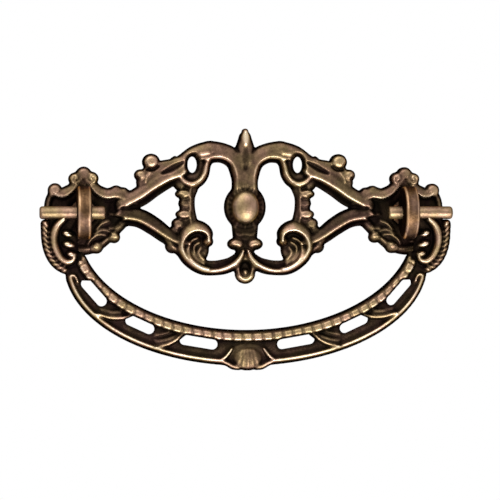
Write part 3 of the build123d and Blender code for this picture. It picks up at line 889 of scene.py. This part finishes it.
def draw_beads(r):
    """A row of pillow beads along the inner edge, on a low bar, parted by narrow grooves, with a painted
    highlight along each bead's lip toward the bail's outer edge.
    """
    line = bail_edge(INNER_REACH, INNER_CENTRE, 1.4, BAIL_END - 0.4, 400)
    along = lengths(line)
    step = 0.1
    r.stroke([(x, z, 0.8, 1.1) for x, z in line[::10]], 2.4, BRICK, shine=0.12, face=0.12)
    for k in range(int(along[-1] / BEAD_PITCH + 0.45)):
        bead = place_along(line, along, k * BEAD_PITCH)
        gap = place_along(line, along, (k + 0.5) * BEAD_PITCH)
        forward = (place_along(line, along, (k + 0.5) * BEAD_PITCH + step) - gap) / step
        across = np.array([-forward[1], forward[0]])
        turn = math.degrees(math.atan2(forward[1], forward[0]))
        box, share = r.oval(*bead, 1.1, 1.15)
        r.inside[box] = np.maximum(r.inside[box], (1 - share) * 0.9)
        middle = bead - across * 0.05
        r.dome(*middle, 1.19, 0.98, 2.75, base=2.2, turn=turn, power=7.0, shine=0.05, square=5.0)
        # A slight rise with a painted highlight along each bead's lip toward the bail's outer edge
        lip = [(*(bead + forward * far - across * 0.7), 0.3) for far in (-0.7, 0.0, 0.7)]
        r.line(lip, 0.06, 0.14)
        groove = [(*(gap + across * far), 0.2) for far in (0.6, 0.0, -0.6, -1.2)]
        r.line(groove, -0.4, -0.2)


def draw_shell(r):
    """The shell at the middle: a web, worn facets and a forked rim."""
    r.dome(0, -33.3, 4.6, 3.6, 1.6, power=6.0)
    upper_fork = [(6.2, -34.3, 0.6), (5.2, -33.6, 0.6), (4.3, -32.5, 0.55), (3.7, -31.7, 0.4)]
    r.stroke(upper_fork, 2.5, ROUND, shine=0.2)
    lower_fork = [(6.2, -34.5, 0.6), (4.7, -35.2, 0.7), (3.4, -35.9, 0.75), (2.2, -36.2, 0.6)]
    r.stroke(lower_fork, 2.3, ROUND, shine=0.15)
    r.dome(0, -34.0, 3.3, 2.6, 2.4, base=1.5, power=2.5, shine=-0.06)
    for top_x, low_x, low_z in ((0.0, 0.0, -36.2), (0.7, 1.3, -36.2), (1.4, 2.6, -35.6)):
        streak = [(top_x, -32.0, 0.3), ((top_x + low_x) / 2, -34.0, 0.5), (low_x, low_z, 0.3)]
        r.line(streak, 0.2, 0.08)


def draw_end(r):
    """The scrolled end: a web, darkened by painted shade under the pin, the C scroll and lobes inside it."""
    web = [(3.6, -0.9, 2.3), (5.4, -3.0, 3.2), (5.0, -7.0, 3.6), (3.6, -10.6, 2.7), (2.2, -12.6, 1.6)]
    r.stroke(at_post(web), 1.1, FLAT)
    # Painted shade on the web under the pin
    r.darken(BOLT_X + 4.6, -5.6, 5.0, 9.0, 0.2, 1.5)
    scroll = [
        (4.6, -1.4, 0.8), (6.1, -2.9, 1.0), (6.95, -5.0, 1.1), (6.95, -7.1, 1.1), (6.3, -9.1, 1.05),
        (5.2, -10.7, 1.0), (3.9, -11.4, 0.9), (2.7, -11.1, 0.7), (2.2, -10.4, 0.5),
    ]
    r.stroke(at_post(scroll), 2.9, base=0.8, shine=0.16)
    lobes = [(3.9, -4.9, 1.3, 0.85, 20), (3.6, -7.4, 1.5, 0.85, 15), (2.9, -9.7, 1.3, 0.8, 10)]
    for x, z, rx, rz, turn in at_post(lobes):
        r.dome(x, z, rx, rz, 2.5, base=1.0, turn=turn, power=3.0, shine=0.14)


def draw_rope(r):
    """The rope edge round the scrolled end, its strands parted by slanting grooves."""
    first_strand, look_ahead = 0.6, 0.2
    slant, half_length = math.radians(130), 1.15
    rope = [
        (9.0, -2.6), (8.95, -4.2), (8.85, -6.1), (8.55, -7.9), (7.9, -9.8), (6.9, -11.4),
        (5.7, -12.5), (4.2, -13.3),
    ]
    path = smooth_line(at_post(rope))
    along = lengths(path)
    r.stroke([(x, z, 1.05) for x, z in path[::6]], 2.5, shine=0.08, face=0.08)
    for distance in np.arange(first_strand, along[-1], ROPE_PITCH):
        x, z = place_along(path, along, distance)
        next_x, next_z = place_along(path, along, distance + look_ahead)
        turn = math.atan2(next_z - z, next_x - x) + slant
        dx, dz = half_length * math.cos(turn), half_length * math.sin(turn)
        r.line([(x - dx, z - dz, 0.28), (x, z, 0.3), (x + dx, z + dz, 0.28)], -0.8, -0.24)


# Pins and posts


def pin_object(side):
    """One of the bail's pivot pins: a round bar, flat at both ends, with rounded edges there."""
    profile = []
    for angle in np.linspace(0, math.pi / 2, 5):
        x = PIN_INNER_X + PIN_INNER_ROUND - PIN_INNER_ROUND * math.sin(angle)
        profile.insert(0, (x, PIN_RADIUS - PIN_INNER_ROUND + PIN_INNER_ROUND * math.cos(angle)))
    profile += [(x, PIN_RADIUS) for x in np.linspace(PIN_INNER_X + 0.9, PIN_OUTER_X - 1.1, 12)]
    for angle in np.linspace(0, math.pi / 2, 7):
        x = PIN_OUTER_X - PIN_OUTER_ROUND + PIN_OUTER_ROUND * math.sin(angle)
        profile.append((x, PIN_RADIUS - PIN_OUTER_ROUND + PIN_OUTER_ROUND * math.cos(angle)))
    points = []
    for x, radius in profile:
        for k in range(PIN_SIDES):
            turn = 2 * math.pi * k / PIN_SIDES
            points.append((side * x, -PIN_DEPTH + radius * math.cos(turn), radius * math.sin(turn)))
    faces = ring_faces(len(profile), PIN_SIDES, side)
    return mesh_object("pin", np.array(points) * MM, faces, np.full(len(points), PIN_WEAR))


def ring_faces(count, ring, side):
    """Faces of a bar made of rings of points, with a flat cap at each end, turned over on the right side."""
    faces = []
    for p in range(count - 1):
        for k in range(ring):
            a, b = p * ring + k, p * ring + (k + 1) % ring
            faces.append((a, b, b + ring, a + ring))
    last = (count - 1) * ring
    faces.append(tuple(range(ring - 1, -1, -1)))
    faces.append(tuple(range(last, last + ring)))
    return [face[::-1] for face in faces] if side > 0 else faces


def shank_object(node):
    """A post as imported from model.glb, without the plain bar at its end."""
    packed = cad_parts[node]
    solid = bmesh.new()
    solid.from_mesh(packed.data)
    solid.transform(packed.matrix_world)
    plain = [f for f in solid.faces if min(v.co.y for v in f.verts) > (THREAD_START - 0.01) * MM]
    bmesh.ops.delete(solid, geom=plain, context="FACES")
    mesh = bpy.data.meshes.new(node + "_shank")
    solid.to_mesh(mesh)
    solid.free()
    return shaded_object(node + "_shank", mesh, SHANK_SHARP_ANGLE)


def thread_object(node, side):
    """The cut thread at a post's end."""
    levels = np.arange(THREAD_START, THREAD_END + 0.001, THREAD_PITCH / 10)
    points = []
    for y in levels:
        from_end = min(THREAD_END - y, y - THREAD_START)
        for k in range(THREAD_SIDES):
            turn = 2 * math.pi * k / THREAD_SIDES
            share = abs(((y / THREAD_PITCH - k / THREAD_SIDES) % 1) * 2 - 1)
            radius = THREAD_RADIUS - THREAD_CUT * min(max(1.2 * share - 0.1, 0), 1)
            radius = min(radius, THREAD_RADIUS - THREAD_CHAMFER + from_end)
            points.append((side * (BOLT_X + radius * math.cos(turn)), y, radius * math.sin(turn)))
    faces = ring_faces(len(levels), THREAD_SIDES, side)
    return mesh_object(node + "_thread", np.array(points) * MM, faces, np.full(len(points), THREAD_WEAR))


# Materials


class Graph:
    """A node tree, and what is added to it."""

    def __init__(self, tree):
        self.nodes = tree.nodes
        self.links = tree.links

    def feed(self, node, inputs):
        """Sets a node's inputs, by name or number, to values, or links them to sockets."""
        for name, value in inputs.items():
            if isinstance(value, bpy.types.NodeSocket):
                self.links.new(value, node.inputs[name])
            else:
                node.inputs[name].default_value = value

    def add(self, kind, inputs, **settings):
        """A new node with its settings and inputs."""
        made = self.nodes.new("ShaderNode" + kind)
        for name, setting in settings.items():
            setattr(made, name, setting)
        self.feed(made, inputs)
        return made

    def noise(self, where, scale, detail):
        """A mottled value over places, scale being its spots in a metre."""
        return self.add("TexNoise", {"Vector": where, "Scale": scale, "Detail": detail}).outputs["Fac"]

    def moved(self, where, stretch=(1, 1, 1), shift=(0, 0, 0)):
        """Places stretched along the axes and shifted."""
        return self.add("Mapping", {"Vector": where, "Scale": stretch, "Location": shift}).outputs[0]

    def axis(self, vector, name):
        """A vector's part along an axis."""
        return self.add("SeparateXYZ", {"Vector": vector}).outputs[name]

    def calculated(self, operation, *values):
        """The result of a math node on sockets and numbers."""
        return self.add("Math", dict(enumerate(values)), operation=operation).outputs[0]

    def sum_of(self, value, factor, other):
        """A value times a factor, plus another value or number."""
        return self.calculated("MULTIPLY_ADD", value, factor, other)

    def mapped(self, value, old, new):
        """A value with one range of numbers turned into another."""
        ends = {"From Min": old[0], "From Max": old[1], "To Min": new[0], "To Max": new[1]}
        return self.add("MapRange", {"Value": value, **ends}).outputs["Result"]

    def ramp(self, value, stops):
        """Colours along a value, from (place, colour) stops."""
        made = self.add("ValToRGB", {"Fac": value})
        while len(made.color_ramp.elements) < len(stops):
            made.color_ramp.elements.new(0.5)
        for element, (place, colour) in zip(made.color_ramp.elements, stops):
            element.position = place
            element.color = (*colour, 1)
        return made.outputs["Color"]

    def seen_directly(self):
        """1 for what the camera sees straight, in a reflection or through glass."""
        rays = self.add("LightPath", {}).outputs
        seen = self.calculated("MAXIMUM", rays["Is Camera Ray"], rays["Is Glossy Ray"])
        return self.calculated("MAXIMUM", seen, rays["Is Transmission Ray"])


def brass_material(name, wear_of, plain, patchy):
    """Antiqued brass: dark in the hollows, bronze on the faces, rubbed bright along the edges, and toned by
    the painted shade and highlight that a casting's wear holds.
    """
    material = bpy.data.materials.new(name)
    material.use_nodes = True
    graph = Graph(material.node_tree)
    place = graph.add("TexCoord", {})
    where = place.outputs["Object"]
    level = wear_of(graph, where, place.outputs["Normal"])
    for scale, detail, strength in MOTTLES:
        centred = graph.sum_of(level, 1.0, -strength / 2)
        level = graph.sum_of(graph.noise(where, scale, detail), strength, centred)
    tint = graph.mapped(graph.noise(where, TINT_SPOTS, 2), TINT_RANGE, (0, 1))
    sides = {"Factor": tint, "A": graph.ramp(level, plain), "B": graph.ramp(level, patchy)}
    colour = graph.add("Mix", sides, data_type="RGBA").outputs["Result"]
    grain = graph.noise(where, GRAIN_SPOTS, 3)
    bump = graph.add("Bump", {"Strength": GRAIN_STRENGTH, "Distance": GRAIN_DEPTH, "Height": grain})
    finish = {
        "Base Color": colour,
        "Specular Tint": colour,
        "Metallic": 1.0,
        "Roughness": graph.mapped(level, (0, 1), ROUGHNESS),
        "Normal": bump.outputs["Normal"],
    }
    graph.feed(graph.nodes["Principled BSDF"], finish)
    return material


def cast_wear_and_painted_light(graph, where, normal):
    """The wear stored with a casting's mesh, with its painted shade and highlight, and file marks across its
    flat back.
    """
    stored = graph.add("Attribute", {}, attribute_name="wear").outputs["Fac"]
    marks = graph.noise(graph.moved(where, stretch=(0.5, 1.0, 9.0)), FILE_MARKS, 4)
    backwards = graph.calculated("MAXIMUM", graph.axis(normal, "Y"), 0.0)
    on_back = graph.calculated("MULTIPLY", graph.sum_of(marks, 0.5, -0.25), backwards)
    return graph.sum_of(stored, 1.0, on_back)


def turned_wear(graph, where, normal):
    """Wear of a turned piece: dark flat sides with tool marks, rubbed rims, a streaked edge between."""
    sideways = graph.calculated("ABSOLUTE", graph.axis(normal, "X"))
    curve = graph.ramp(sideways, [(share, (wear, wear, wear)) for share, wear in TURNED_WEAR])
    centred = graph.moved(where, shift=(0, PIN_DEPTH * MM, 0))
    marks = {"Vector": centred, "Scale": TURNED_RINGS, "Distortion": 2.0}
    rings = graph.add("TexWave", marks, wave_type="RINGS", rings_direction="X").outputs["Fac"]
    tool_marks = graph.calculated("MULTIPLY", graph.sum_of(rings, 0.12, -0.06), sideways)
    streaks = graph.noise(graph.moved(where, stretch=(4.0, 0.6, 0.6)), TURNED_STREAKS, 4)
    level = graph.sum_of(streaks, 0.35, graph.sum_of(tool_marks, 1.0, -0.17))
    return graph.sum_of(curve, 1.0, level)


# Stage


def make_surround():
    """A surround that shows as white, but lights the part as a mid grey."""
    world = bpy.data.worlds.new("surround")
    bpy.context.scene.world = world
    world.use_nodes = True
    graph = Graph(world.node_tree)
    graph.nodes.clear()
    light = graph.add("Background", {"Color": (0.55, 0.55, 0.56, 1)}).outputs[0]
    white = graph.add("Background", {"Color": (1, 1, 1, 1)}).outputs[0]
    mix = graph.add("MixShader", {0: graph.seen_directly(), 1: light, 2: white})
    graph.add("OutputWorld", {"Surface": mix.outputs[0]})


def floor_material():
    """Matt white that shows as white, and still takes a shadow."""
    material = bpy.data.materials.new("floor")
    material.use_nodes = True
    graph = Graph(material.node_tree)
    graph.nodes.clear()
    matt = graph.add("BsdfDiffuse", {"Color": (0.85, 0.85, 0.85, 1)}).outputs[0]
    glow = graph.add("Emission", {"Color": (0.7, 0.7, 0.7, 1), "Strength": graph.seen_directly()}).outputs[0]
    both = graph.add("AddShader", {0: matt, 1: glow})
    graph.add("OutputMaterial", {"Surface": both.outputs[0]})
    return material


def make_stage():
    """A pale floor, and a soft lamp above and one below."""
    bpy.ops.mesh.primitive_plane_add(size=3.0, location=(0, 0, -0.32))
    floor = bpy.context.object
    floor.name = "floor"
    floor.data.materials.append(floor_material())
    for name, place, size, power in LAMPS:
        lamp = bpy.data.lights.new(name, "AREA")
        lamp.shape = "DISK"
        lamp.size = size
        lamp.energy = power
        made = bpy.data.objects.new(name, lamp)
        made.location = place
        made.rotation_euler = (Vector(LAMP_AIM) - Vector(place)).to_track_quat("-Z", "Y").to_euler()
        bpy.context.scene.collection.objects.link(made)


def make_camera():
    """The photograph's view: level with the pins, a little to the left, from well back."""
    distance = 0.540
    height = 0.0004
    turn = math.radians(-5.86)
    sensor = 36
    millimetres_a_pixel = 0.2364
    frame_pixels = 500
    aim_right, aim_up = 1.27, -8.82
    camera = bpy.data.cameras.new("camera")
    camera.sensor_width = sensor
    camera.lens = sensor * distance / (frame_pixels * millimetres_a_pixel * MM)
    camera.clip_start = 0.01
    camera.clip_end = 20
    made = bpy.data.objects.new("camera", camera)
    made.location = (distance * math.sin(turn), -distance * math.cos(turn), height)
    aim = Vector((aim_right * math.cos(turn), aim_right * math.sin(turn), aim_up)) * MM
    made.rotation_euler = (aim - made.location).to_track_quat("-Z", "Y").to_euler()
    bpy.context.scene.collection.objects.link(made)
    bpy.context.scene.camera = made


bpy.context.scene.view_settings.view_transform = "Standard"

cast_brass = brass_material("cast_brass", cast_wear_and_painted_light, GOLDEN, ROSY)
turned_brass = brass_material("turned_brass", turned_wear, COPPERY, ROSY)

plate = make_casting("plate", draw_backplate(), 0.0, PLATE_BEVEL)
plate.data.materials.append(cast_brass)
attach(plate, "mounting")
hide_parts("backplate")

bail_front = make_casting("bail_casting", draw_bail(), -BAIL_BACK, BAIL_BEVEL)
handle = joined("bail_casting", [bail_front, pin_object(1), pin_object(-1)])
handle.data.materials.clear()
handle.data.materials.append(cast_brass)
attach(handle, "handle")
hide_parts("bail")

for node, side in (("right_post", 1), ("left_post", -1)):
    post = joined(node + "_threaded", [shank_object(node), thread_object(node, side)])
    post.data.materials.clear()
    post.data.materials.append(turned_brass)
    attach(post, "mounting")
    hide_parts(node)

for node in ("right_nut", "left_nut"):
    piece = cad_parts[node]
    piece.data.materials.clear()
    piece.data.materials.append(turned_brass)

make_surround()
make_stage()
make_camera()
